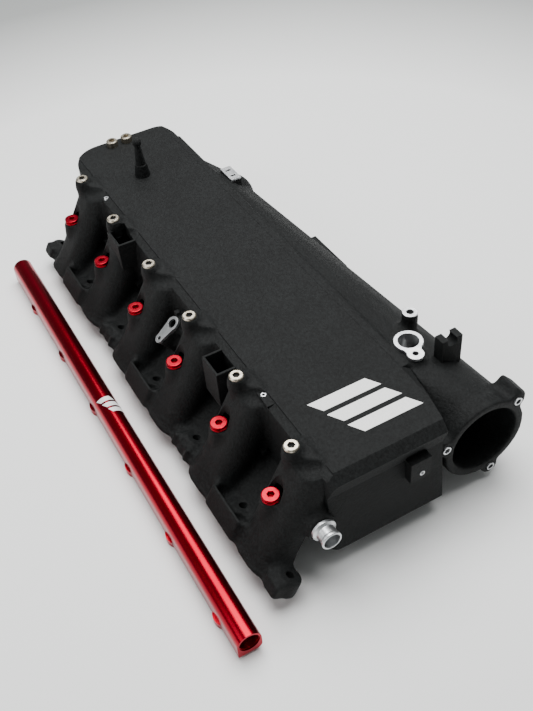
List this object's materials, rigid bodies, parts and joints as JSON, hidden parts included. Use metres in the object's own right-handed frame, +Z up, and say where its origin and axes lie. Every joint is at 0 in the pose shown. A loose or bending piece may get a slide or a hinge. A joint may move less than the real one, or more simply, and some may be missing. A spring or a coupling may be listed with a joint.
{
  "type": "intake manifold",
  "caption": "Printed plastic intake manifold with a side throttle duct, tilted runners and blanking plugs, and a loose red fuel rail.",
  "frame": {"origin": "middle of the overall box, on the surface that it rests on", "axes": "+X along the engine towards the throttle end, +Y from the cylinder head towards the throttle duct, +Z up"},
  "size_m": [0.599, 0.3094, 0.1572],
  "materials": {
    "printed_nylon": "black sintered nylon, fine matt grain",
    "red_anodised": "red anodised, satin, drawn lengthwise",
    "machined_aluminium": "bright machined",
    "plug_steel": "plated steel, satin",
    "silver_mark": "silver-white paint",
    "gasket_rubber": "moulded rubber",
    "oring_rubber": "moulded rubber"
  },
  "bodies": {
    "manifold": {"plenum_shell": "printed_nylon", "plenum_cover": "printed_nylon", "port_foot_1": "printed_nylon", "port_foot_2": "printed_nylon", "port_foot_3": "printed_nylon", "port_foot_4": "printed_nylon", "port_foot_5": "printed_nylon", "port_foot_6": "printed_nylon", "stud_lug_1": "printed_nylon", "stud_lug_2": "printed_nylon", "stud_lug_3": "printed_nylon", "stud_lug_4": "printed_nylon", "stud_lug_5": "printed_nylon", "stud_lug_6": "printed_nylon", "stud_lug_7": "printed_nylon", "runner_1": "printed_nylon", "runner_2": "printed_nylon", "runner_3": "printed_nylon", "runner_4": "printed_nylon", "runner_5": "printed_nylon", "runner_6": "printed_nylon", "port_gasket_1": "gasket_rubber", "port_gasket_2": "gasket_rubber", "port_gasket_3": "gasket_rubber", "port_gasket_4": "gasket_rubber", "port_gasket_5": "gasket_rubber", "port_gasket_6": "gasket_rubber", "injector_plug_1": "red_anodised", "injector_plug_2": "red_anodised", "injector_plug_3": "red_anodised", "injector_plug_4": "red_anodised", "injector_plug_5": "red_anodised", "injector_plug_6": "red_anodised", "injector_plug_orings": "oring_rubber", "runner_pipe_plugs": "plug_steel", "end_pipe_plugs": "plug_steel", "throttle_duct": "printed_nylon", "throttle_flange": "printed_nylon", "throttle_inserts": "machined_aluminium", "duct_bracket": "printed_nylon", "rail_bracket_rear": "printed_nylon", "rail_bracket_front": "printed_nylon", "engine_cover_post": "printed_nylon", "sensor_boss": "printed_nylon", "sensor_port_ring": "machined_aluminium", "cover_boss": "printed_nylon", "cover_boss_insert": "machined_aluminium", "clip_post": "printed_nylon", "plate_block": "printed_nylon", "slotted_plate": "machined_aluminium", "adapter_boss": "printed_nylon", "vacuum_adapter": "machined_aluminium", "hose_fitting": "machined_aluminium", "hose_fitting_oring": "oring_rubber", "edge_inserts": "machined_aluminium", "front_insert": "machined_aluminium", "plenum_emblem": "silver_mark"},
    "fuel_rail": {"fuel_rail": "red_anodised", "rail_emblem": "silver_mark"}
  },
  "joints": [
    {"name": "fuel_rail_lift", "type": "slide", "parent": "manifold", "child": "fuel_rail", "axis": [0, 0, 1], "range_m": [0, 0.2]}
  ]
}
